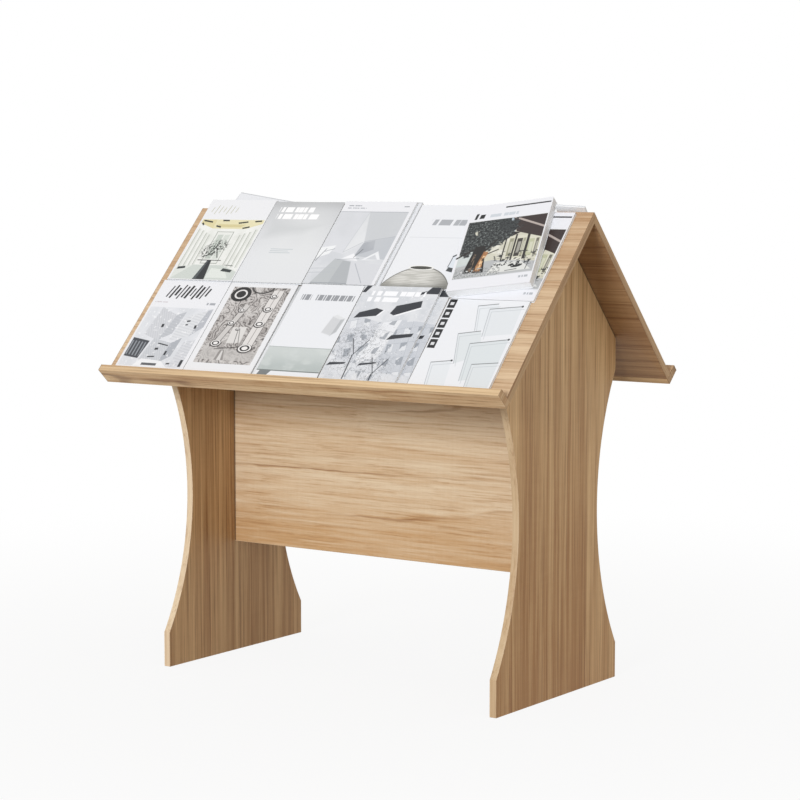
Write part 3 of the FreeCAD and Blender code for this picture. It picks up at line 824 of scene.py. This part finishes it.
def cover_roofs(page):
    """Greyscale street of pale house fronts and a bare tree, with dark awnings above."""
    page.ground("DEE0E3")
    page.lay(page.grain(4, 5, 1, 4, 0.6).over(0.38, 0.62), "CBCFD4", 0.75)
    chance = page.grain(7, 8, 21, 1)
    for turn, ink, *points in (
        (14, "D2D5DA", (0, 0.24), (0.34, 0.2), (0.46, 0.62), (0, 0.7)),
        (-9, "E6E8EB", (0.34, 0.2), (0.62, 0.26), (0.7, 0.66), (0.46, 0.62)),
        (11, "C8CCD2", (0.62, 0.14), (1, 0.1), (1, 0.64), (0.7, 0.66)),
        (-4, "DADDE1", (0.3, 0), (0.78, 0), (0.7, 0.22), (0.36, 0.2)),
    ):
        front = page.facet(*points)
        a, b = page.turned(turn)
        floors = (b * 5).remainder(1)
        panes = (a * 6).remainder(1).over(0.52, 0.56) * floors.over(0.44, 0.48)
        page.lay(front, ink)
        page.lay(front * panes * chance.over(0.46, 0.52), "8D939B", 0.75)
        page.lay(front * panes * chance.over(0.52, 0.46), "ECEEF0", 0.6)
        page.lay(front * floors.over(0.04, 0.02), "A2A8B0", 0.6)
        page.lay(front * (a * 3).remainder(1).over(0.03, 0.015), "B0B5BC", 0.6)
    page.lay(page.grain(24, 30, 31, 4, 0.7).over(0.6, 0.68), "F4F5F7", 0.7)
    for cu, cv, radius, shift in ((0.3, 0.34, 0.34, 5), (0.66, 0.16, 0.2, 11)):
        twigs = (page.grain(13, 15, shift, 5, 0.72) - 0.5).abs().over(0.012, 0.004)
        page.lay(page.disc(cu, cv, radius, soft=0.08) * twigs, "2E3137", 0.95)
        page.lay(page.bar(cu, cv - 0.18, 0.014, 0.32, 3), "2C2F35")
        page.lay(page.bar(cu + 0.05, cv + 0.02, 0.01, 0.26, -30), "33363C")
        page.lay(page.bar(cu - 0.05, cv + 0.03, 0.01, 0.24, 26), "33363C")
    awning, gleam = "2B2E34", "F2F3F5"
    page.facets(
        (awning, (0.06, 0.66), (0.34, 0.69), (0.4, 0.75), (0.3, 0.77), (0.1, 0.72)),
        (awning, (0.5, 0.72), (0.56, 0.7), (0.86, 0.79), (0.84, 0.86), (0.54, 0.8)),
        (awning, (0.62, 0.45), (0.92, 0.49), (0.93, 0.525), (0.66, 0.5)),
        (awning, (0.82, 0.93), (1, 0.93), (1, 1), (0.88, 1)),
        (awning, (0.7, 0.9), (0.82, 0.93), (0.84, 0.96), (0.74, 0.94)),
        (awning, (0.02, 0.17), (0.24, 0.19), (0.26, 0.21), (0.05, 0.2)),
        (awning, (0.42, 0.18), (0.64, 0.21), (0.64, 0.225), (0.44, 0.205)),
        (awning, (0, 0.93), (0.05, 0.93), (0.1, 1), (0.03, 1)),
        (gleam, (0.34, 0.69), (0.37, 0.69), (0.42, 0.75), (0.4, 0.75)),
        (gleam, (0.56, 0.7), (0.6, 0.695), (0.88, 0.78), (0.86, 0.79)),
    )
    page.heading(0.14, 0.84, 0.9, 0.948, 62, "F6F7F9", 0.12)
    page.heading(0.12, 0.56, 0.836, 0.884, 54, "F6F7F9", 0.12)
    specks = page.grain(60, 80, 9).over(0.68, 0.72)
    page.lay(specks * page.v.over(0.66, 0.56), "24272C", 0.9)


def cover_plans(page):
    """White cover with a column of black squares and pale stepped planes edged with thin lines."""
    page.ground("E9EBEE")
    off_centre = ((page.v * 9).remainder(1) - 0.5).abs()
    page.lay(page.box(0.02, 0.115, 0.445, 1) * off_centre.over(0.45, 0.42), "141518")
    page.lay(page.box(0.045, 0.09, 0.445, 1) * off_centre.over(0.16, 0.12), "E6E8EA", 0.9)
    for ink, *points in (
        ("E3E7EA", (0.4, 0.93), (0.5, 0.66), (0.74, 0.7), (0.64, 0.96)),
        ("DFE3E6", (0.56, 0.9), (0.62, 0.6), (0.96, 0.64), (0.94, 0.94)),
        ("DCE1E3", (0.32, 0.62), (0.44, 0.3), (0.72, 0.4), (0.58, 0.66)),
        ("D9DFE1", (0.52, 0.52), (0.6, 0.12), (0.97, 0.18), (0.96, 0.58)),
        ("E2E6E9", (0.16, 0.3), (0.22, 0.03), (0.46, 0.03), (0.4, 0.33)),
        ("DBE0E2", (0.66, 0.3), (0.7, 0.03), (0.98, 0.03), (0.97, 0.33)),
    ):
        page.lay(page.facet(*points), ink)
        top_left, low_left, _, top_right = points
        for start, end, line, broad in (
            (top_right, top_left, "2B2F34", 0.0085), (top_left, low_left, "8B9197", 0.005),
        ):
            du, dv = end[0] - start[0], (end[1] - start[1]) * page.ratio
            u, v = (start[0] + end[0]) / 2, (start[1] + end[1]) / 2
            long, turn = math.hypot(du, dv), math.degrees(math.atan2(dv, du))
            page.lay(page.bar(u, v, long, broad, turn), line, 0.9)
            page.lay(page.bar(u + 0.035, v - 0.03, long, 0.0045, turn), "A6ACB1", 0.7)
    for u, v in ((0.94, 0.94), (0.96, 0.58), (0.4, 0.33)):
        page.lay(page.disc(u, v, 0.013), "1C1E22")


def plain_paper(name):
    """Spine and back cover."""
    shade = Shade(name)
    fibre = shade.noise(shade.place, 900.0)
    shade.bump(fibre, 0.05 * MM, 0.4)
    return shade.finish(shade.mix(fibre * 0.2, PAPER, PAPER_FIBRE), 0.38, specular=0.4)


def page_edges(name):
    """The trimmed edges of the glued pages."""
    shade = Shade(name)
    x, y, z = shade.axes(shade.place)
    wander = shade.noise(shade.vector(x * 14.0, y * 14.0), detail=1.0) * 0.5 * MM
    leaves = shade.noise(shade.vector(x * 3.0, y * 3.0, (z + wander) * 5200.0))
    shade.bump(leaves, 0.1 * MM, 0.8)
    # edges printed whiter than the covers' paper: painted light
    colour = shade.mix(leaves.over(0.42, 0.66), LIT_PAGE_EDGE, PAGE_LINE)
    return shade.finish(colour, 0.75, specular=0.2)


# ---- magazines ----
def lie_of(node, on_rear):
    """Where a magazine's solid lies, read from its mesh: (matrix, width, height, thickness).

    The matrix sets the foot of the spine edge, on the back cover, with X across the cover, Y
    up it and Z out of the slope.
    """
    slope = Matrix.Translation((0, 0, RIDGE)) @ Euler((SLOPE, 0, 0)).to_matrix().to_4x4()
    if on_rear:
        slope = Matrix.Rotation(math.pi, 4, "Z") @ slope
    flat = slope.inverted()
    points = [flat @ v.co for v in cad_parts[node].data.vertices]
    outline = [points[i].xy / MM for i in convex_hull_2d([p.xy / MM for p in points])]
    sides = (b - a for a, b in zip(outline, outline[1:] + outline[:1]))
    longest = max(sides, key=lambda side: side.length)
    angle, quarter = math.atan2(longest.y, longest.x), math.pi / 2
    turn = Matrix.Rotation(angle - quarter * round(angle / quarter), 4, "Z")
    points = [turn.inverted() @ p for p in points]
    low = Vector(min(p[i] for p in points) for i in range(3))
    high = Vector(max(p[i] for p in points) for i in range(3))
    return slope @ turn @ Matrix.Translation(low), *(high - low)


def cover_profile(width, thickness):
    """Outside of the wrapped cover as (X, Z), from the back's fore edge round the spine, and
    how many steps come before the front."""
    r = SPINE_RADIUS
    arc = [math.pi / 2 * k / ARC_STEPS for k in range(ARC_STEPS + 1)]
    back = [(width, 0.0), (width / 2, 0.0)]
    back += [(r - r * math.sin(a), r - r * math.cos(a)) for a in arc]
    back += [(r - r * math.cos(a), thickness - r + r * math.sin(a)) for a in arc]
    near = [HINGE + HINGE_DEPTH * 12 * t for t in (-1.4, -0.7, 0.0, 0.7, 1.4)]
    far = [HINGE * 2 + (width - HINGE * 2) * k / FACE_STEPS for k in range(FACE_STEPS + 1)]
    front = []
    for x in near + far:
        t = x / width
        dip = SAG * math.sin(math.pi * t) ** 2 * (0.4 + 0.6 * t)
        dip += HINGE_DEPTH * math.exp(-(((x - HINGE) / HINGE_WIDTH) ** 2))
        front.append((x, thickness - dip))
    return back + front, len(back) - 1


def add(name, data):
    thing = bpy.data.objects.new(name, data)
    bpy.context.scene.collection.objects.link(thing)
    return thing


def magazine(name, node, body, on_rear, cover):
    """A glued magazine: a cover wrapped round the spine and a trimmed block of pages."""
    place, width, height, thickness = lie_of(node, on_rear)
    made = bmesh.new()

    def face(corners, material, flip=False):
        made.faces.new(corners[::-1] if flip else corners).material_index = material

    profile, before_front = cover_profile(width, thickness)
    outer = [Vector((x, 0, z)) for x, z in profile]
    last = len(outer) - 1
    inner = []
    for i, p in enumerate(outer):
        along = (outer[min(i + 1, last)] - outer[max(i - 1, 0)]).normalized()
        inner.append(p + Vector((-along.z, 0, along.x)) * -COVER)

    def sheet(line):
        rows = []
        for k in range(ROWS + 1):
            t = k / ROWS
            lift = SWELL * math.sin(math.pi * t) / width
            rows.append([
                made.verts.new((p.x, height * t, p.z - lift * p.x * (p.z > thickness / 2)))
                for p in line
            ])
        return rows

    a, b = sheet(outer), sheet(inner)
    for k in range(ROWS):
        for i in range(last):
            material = PRINTED if i >= before_front else PLAIN
            face((a[k][i], a[k][i + 1], a[k + 1][i + 1], a[k + 1][i]), material)
            face((b[k][i], b[k + 1][i], b[k + 1][i + 1], b[k][i + 1]), PLAIN)
        for i in (0, last):
            face((a[k][i], a[k + 1][i], b[k + 1][i], b[k][i]), PLAIN, i == last)
    for k in (0, ROWS):
        for i in range(last):
            face((a[k][i], b[k][i], b[k][i + 1], a[k][i + 1]), PLAIN, k == ROWS)

    # pages: a block that stays clear of the cover's dip and bulges a little at the fore edge
    top = thickness - COVER - SAG - PAGE_GAP
    block = {}

    def corner(i, j, k):
        if (i, j, k) not in block:
            x = COVER + (width - PAGE_INSET - COVER) * i / PAGE_COLUMNS
            y = PAGE_INSET + (height - 2 * PAGE_INSET) * j
            z = COVER + (top - COVER) * k / PAGE_LAYERS
            if i == PAGE_COLUMNS:
                x += SWELL * math.sin(math.pi * k / PAGE_LAYERS)
            block[i, j, k] = made.verts.new((x, y, z))
        return block[i, j, k]

    def page_face(start, first, second, flip):
        """A face of the block, with sides of one step along two axes."""
        start, first, second = Vector(start), Vector(first), Vector(second)
        places = (start, start + first, start + first + second, start + second)
        face([corner(*place) for place in places], PAGE_BLOCK, flip)

    x_step, y_step, z_step = (1, 0, 0), (0, 1, 0), (0, 0, 1)
    for i in range(PAGE_COLUMNS):
        for k in (0, PAGE_LAYERS):
            page_face((i, 0, k), x_step, y_step, k == 0)
        for k in range(PAGE_LAYERS):
            for j in (0, 1):
                page_face((i, j, k), x_step, z_step, j == 1)
    for k in range(PAGE_LAYERS):
        for i in (0, PAGE_COLUMNS):
            page_face((i, 0, k), y_step, z_step, i == 0)

    bmesh.ops.recalc_face_normals(made, faces=made.faces)
    mesh = bpy.data.meshes.new(name)
    made.to_mesh(mesh)
    made.free()
    for side in mesh.polygons:
        side.use_smooth = side.material_index != PAGE_BLOCK
    page = Page(name + "_print", width, height)
    cover(page)
    for material in (page.print(), plain_paper(name + "_paper"), PAGES):
        mesh.materials.append(material)
    thing = add(name, mesh)
    mesh.set_sharp_from_angle(angle=SHARP_ANGLE)
    thing.matrix_world = place
    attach(thing, body)
    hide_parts(node)


# ---- build ----
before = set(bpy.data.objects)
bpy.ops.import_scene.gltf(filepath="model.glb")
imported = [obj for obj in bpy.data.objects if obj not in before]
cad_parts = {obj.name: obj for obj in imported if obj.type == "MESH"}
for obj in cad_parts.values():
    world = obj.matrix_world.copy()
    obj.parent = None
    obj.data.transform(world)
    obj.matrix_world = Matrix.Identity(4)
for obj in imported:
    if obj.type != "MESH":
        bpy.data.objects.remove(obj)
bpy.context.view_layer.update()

ridge_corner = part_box("slope_front_banding")[1]
HALF, RIDGE = ridge_corner.x, ridge_corner.z
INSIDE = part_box("stretcher")[1].x

FLAT = (0.0, 0.0, 0.0)
UPRIGHT = (0.0, math.pi / 2, 0.0)
FRONT_LIE, REAR_LIE = (-SLOPE, 0.0, 0.0), (SLOPE, 0.0, 0.0)
DOWN_FRONT, DOWN_REAR = (-SLOPE, 0.0, math.pi / 2), (SLOPE, 0.0, math.pi / 2)

OAK = oak_print()

# board: turn of its grain, stretch of the print, colours, figure, scale, colours of its banding
# and the banding's turn on the rack's ends
BOARDS = {
    # the left panel's darker oak is painted shade, its paler banding painted light
    "end_panel_left": (UPRIGHT, 3.0, SHADED_LEFT_OAK, 0.5, 0.9, LIT_LEFT_BAND, None),
    "end_panel_right": (UPRIGHT, 7.3, RIGHT_OAK, 0.5, 0.9, BAND_OAK, None),
    "slope_front": (FRONT_LIE, 11.0, MID_OAK, 0.8, 0.9, EDGE_OAK, DOWN_FRONT),
    "slope_rear": (REAR_LIE, 15.6, MID_OAK, 0.8, 0.9, EDGE_OAK, DOWN_REAR),
    "lip_front": (FRONT_LIE, 20.4, LIP_OAK, 1.0, 0.9, LIP_OAK, DOWN_FRONT),
    "lip_rear": (REAR_LIE, 25.0, MID_OAK, 0.5, 1.0, EDGE_OAK, DOWN_REAR),
    "stretcher": (FLAT, 31.0, PALE_OAK, 1.0, 1.0, BAND_OAK, None),
}
EXTRAS = {
    # the left panel darkens towards the top: painted shade under the slopes
    "end_panel_left": {"fade": (-0.37, -0.14, 0.0), "joint_and_shade": under_slopes},
    # the right panel is lighter at the top and darker at the foot: painted light from above
    "end_panel_right": {"fade": (0.8, 0.55, -0.2), "joint_and_shade": under_slopes},
    # the front slope darkens towards the ridge: painted shade
    "slope_front": {"fade": (0.95, -1.0, -0.2)},
    # its underside printed darker: painted shade
    "slope_rear": {"back": SHADED_UNDERSIDE_OAK},
    # the stretcher's dark ends, where it meets the end panels, are painted shade
    "stretcher": {"fade": (0.46, 3.0, 0.0), "joint_and_shade": under_ends},
}
for node, (turn, shift, colours, figure, scale, band_colours, ends_turn) in BOARDS.items():
    extras = EXTRAS.get(node, {})
    dress(node, wood("grain_" + node, turn, shift, colours, figure, scale, **extras))
    soften(node, BOARD_EASE)
    extras = {"ends_turn": ends_turn, "joint_and_shade": beside_band} if ends_turn else {}
    strips = node + "_banding"
    dress(strips, wood("band_" + node, turn, shift + BAND_SHIFT, band_colours, **extras))
    soften(strips, BAND_EASE)

for group in ("stretcher", "gables"):
    dress("dowels_" + group, wood("beech_" + group, FLAT, 40.0, BEECH))
    dress("cam_locks_" + group, metal("zinc_" + group, ZINC, 0.42))
    dress("cam_bolts_" + group, metal("steel_" + group, STEEL, 0.3))
dress("ridge_spline", wood("spline_grain", FLAT, 44.0, BEECH))

STENCILS = stencils()
PAGES = page_edges("page_edges")
COVERS = {
    "low_1": cover_blocks, "low_2": cover_machine, "low_3_under": cover_plain_grey,
    "low_3": cover_field, "low_4_under": cover_roofs, "low_4": cover_roofs,
    "low_5": cover_plans, "high_1_under": cover_plain, "high_1": cover_room,
    "high_2": cover_plain_grey, "high_3_under": cover_plain, "high_3": cover_facets,
    "high_4": cover_vessel, "high_5": cover_courtyard, "high_5_top": cover_courtyard,
    "rear_low": cover_facets, "rear_high": cover_plain,
}
for word, cover in COVERS.items():
    node = "magazine_" + word
    magazine("copy_" + word, node, node + "_body", word.startswith("rear"), cover)

# ---- stage ----
corners = [(x * FLOOR_REACH, y * FLOOR_REACH, 0) for x, y in ((-1, -1), (1, -1), (1, 1), (-1, 1))]
floor_mesh = bpy.data.meshes.new("floor")
floor_mesh.from_pydata(corners, [], [(0, 1, 2, 3)])
floor = add("floor", floor_mesh)
paper = Shade("floor_paper")
x, y, _ = paper.axes(paper.place)
far = (x * x + y * y).root().over(FLOOR_NEAR, FLOOR_FAR)
paper.finish(paper.mix(paper.noise(paper.place, 1.5) * 0.3, FLOOR, FLOOR_CLOUD), 0.9, specular=0.0)
white = paper.seen() * (far * (1.0 - FLOOR_GLOW) + FLOOR_GLOW)
surface = paper.blend(white, paper.principled.outputs[0], paper.source("ShaderNodeEmission"))
out = next(n for n in paper.tree.nodes if n.type == "OUTPUT_MATERIAL")
paper.feed(out.inputs["Surface"], surface)
floor_mesh.materials.append(paper.material)

world = bpy.data.worlds.new("studio")
bpy.context.scene.world = world
world.use_nodes = True
sky = Nodes(world.node_tree)
sky.tree.nodes.clear()
light = sky.source("ShaderNodeBackground", WORLD_TINT, WORLD_LIGHT)
surface = sky.blend(sky.seen(), light, sky.source("ShaderNodeBackground"))
sky.node("ShaderNodeOutputWorld", surface)

key = bpy.data.lights.new("key", "SUN")
key.energy = KEY_LIGHT
key.color = KEY_TINT
key.angle = KEY_SPREAD
add("key", key).rotation_euler = Vector(KEY_FROM).to_track_quat("Z", "Y").to_euler()

camera = bpy.data.cameras.new("camera")
camera.sensor_width = SENSOR
camera.lens = LENS
camera.clip_end = CAMERA_REACH
viewer = add("camera", camera)
viewer.location = CAMERA_PLACE
viewer.rotation_euler = (math.pi / 2 - CAMERA_DIP, 0.0, CAMERA_TURN)
bpy.context.scene.camera = viewer
bpy.context.scene.view_settings.view_transform = "Standard"
